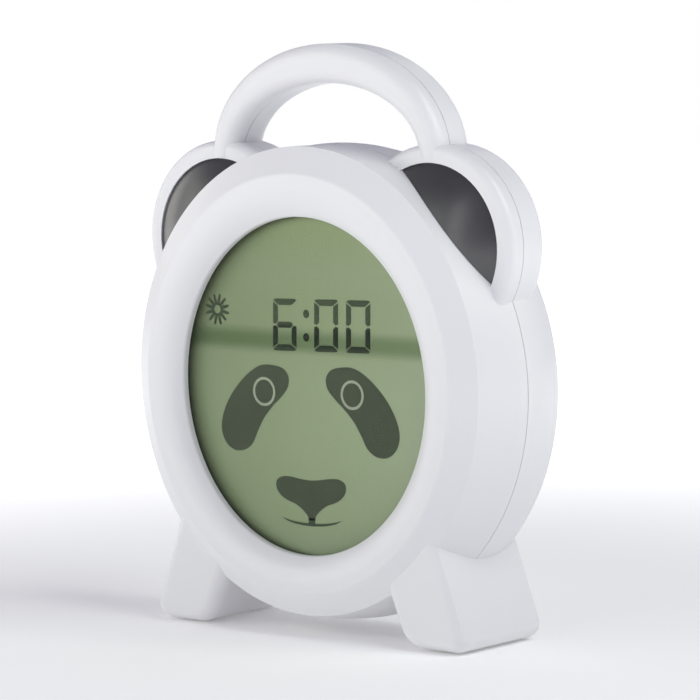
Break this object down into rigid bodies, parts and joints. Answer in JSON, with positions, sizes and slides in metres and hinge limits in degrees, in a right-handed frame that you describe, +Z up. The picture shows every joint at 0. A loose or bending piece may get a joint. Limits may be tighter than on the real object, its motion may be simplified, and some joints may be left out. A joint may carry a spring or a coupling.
{
  "type": "child's alarm clock",
  "caption": "Round standing alarm clock with an oval display showing an animal face, two ears, carrying arch and splayed feet; the display glows as a night light.",
  "frame": {"origin": "centre of the footprint, on the surface the clock stands on", "axes": "+X to the clock's left as it looks out (right in a front view), +Y to the back, +Z up; the display faces -Y"},
  "size_m": [0.1476, 0.0437, 0.1816],
  "materials": {
    "white_shell": "satin moulded white",
    "ear_gloss": "high gloss dark grey",
    "rubber_pad": "matt soft",
    "screw_steel": "zinc plated",
    "lens_clear": "clear polished",
    "lcd_green": "green display cell",
    "acrylic_guide": "clear moulded",
    "white_sheet": "white film",
    "grey_frame": "moulded grey",
    "strip_rubber": "layered rubber",
    "led_body": "resin",
    "board_green": "solder mask",
    "chip_black": "resin blob",
    "component_dark": "moulded",
    "button_grey": "soft touch grey",
    "speaker_dark": "coated",
    "socket_metal": "plated",
    "foam_dark": "soft foam",
    "cell_wrap": "wrapped cell",
    "contact_metal": "nickel plated",
    "cable_grey": "flat cable"
  },
  "bodies": {
    "clock_body": {"front_casing": "white_shell", "rear_casing": "white_shell", "left_ear_insert": "ear_gloss", "right_ear_insert": "ear_gloss", "left_foot": "white_shell", "right_foot": "white_shell", "foot_pads": "rubber_pad", "foot_screws": "screw_steel", "display_lens": "lens_clear", "lcd_panel": "lcd_green", "light_guide": "acrylic_guide", "reflector_sheet": "white_sheet", "lcd_frame": "grey_frame", "lcd_frame_screws": "screw_steel", "zebra_strips": "strip_rubber", "backlight_leds": "led_body", "main_board": "board_green", "main_board_screws": "screw_steel", "controller_chip": "chip_black", "board_parts": "component_dark", "key_board": "board_green", "key_board_screws": "screw_steel", "key_switches": "component_dark", "lock_switch_body": "component_dark", "speaker": "speaker_dark", "speaker_clamp": "grey_frame", "speaker_screws": "screw_steel", "power_socket": "socket_metal", "power_board": "board_green", "power_board_screws": "screw_steel", "battery_cells": "cell_wrap", "battery_contacts": "contact_metal", "battery_springs": "contact_metal", "casing_screws": "screw_steel", "ribbon_cable": "cable_grey"},
    "battery_door": {"battery_door": "white_shell", "door_foam": "foam_dark"},
    "lock_slider": {"lock_slider": "button_grey"},
    "clock_set_button": {"clock_set_button": "button_grey"},
    "wake_set_button": {"wake_set_button": "button_grey"},
    "minus_button": {"minus_button": "button_grey"},
    "plus_button": {"plus_button": "button_grey"},
    "light_button": {"light_button": "button_grey"}
  },
  "joints": [
    {"name": "clock_set_press", "type": "slide", "parent": "clock_body", "child": "clock_set_button", "axis": [0, -1, 0], "range_m": [0, 0.0008], "stiffness_N_per_m": 900},
    {"name": "wake_set_press", "type": "slide", "parent": "clock_body", "child": "wake_set_button", "axis": [0, -1, 0], "range_m": [0, 0.0008], "stiffness_N_per_m": 900},
    {"name": "minus_press", "type": "slide", "parent": "clock_body", "child": "minus_button", "axis": [0, -1, 0], "range_m": [0, 0.0008], "stiffness_N_per_m": 900},
    {"name": "plus_press", "type": "slide", "parent": "clock_body", "child": "plus_button", "axis": [0, -1, 0], "range_m": [0, 0.0008], "stiffness_N_per_m": 900},
    {"name": "light_press", "type": "slide", "parent": "clock_body", "child": "light_button", "axis": [0, -1, 0], "range_m": [0, 0.0008], "stiffness_N_per_m": 900},
    {"name": "lock_slide", "type": "slide", "parent": "clock_body", "child": "lock_slider", "axis": [1, 0, 0], "range_m": [0, 0.004]},
    {"name": "battery_door_hinge", "type": "hinge", "parent": "clock_body", "child": "battery_door", "pos_m": [0, 0.0184, 0.0253], "axis": [-1, 0, 0], "range_deg": [0, 95]}
  ]
}
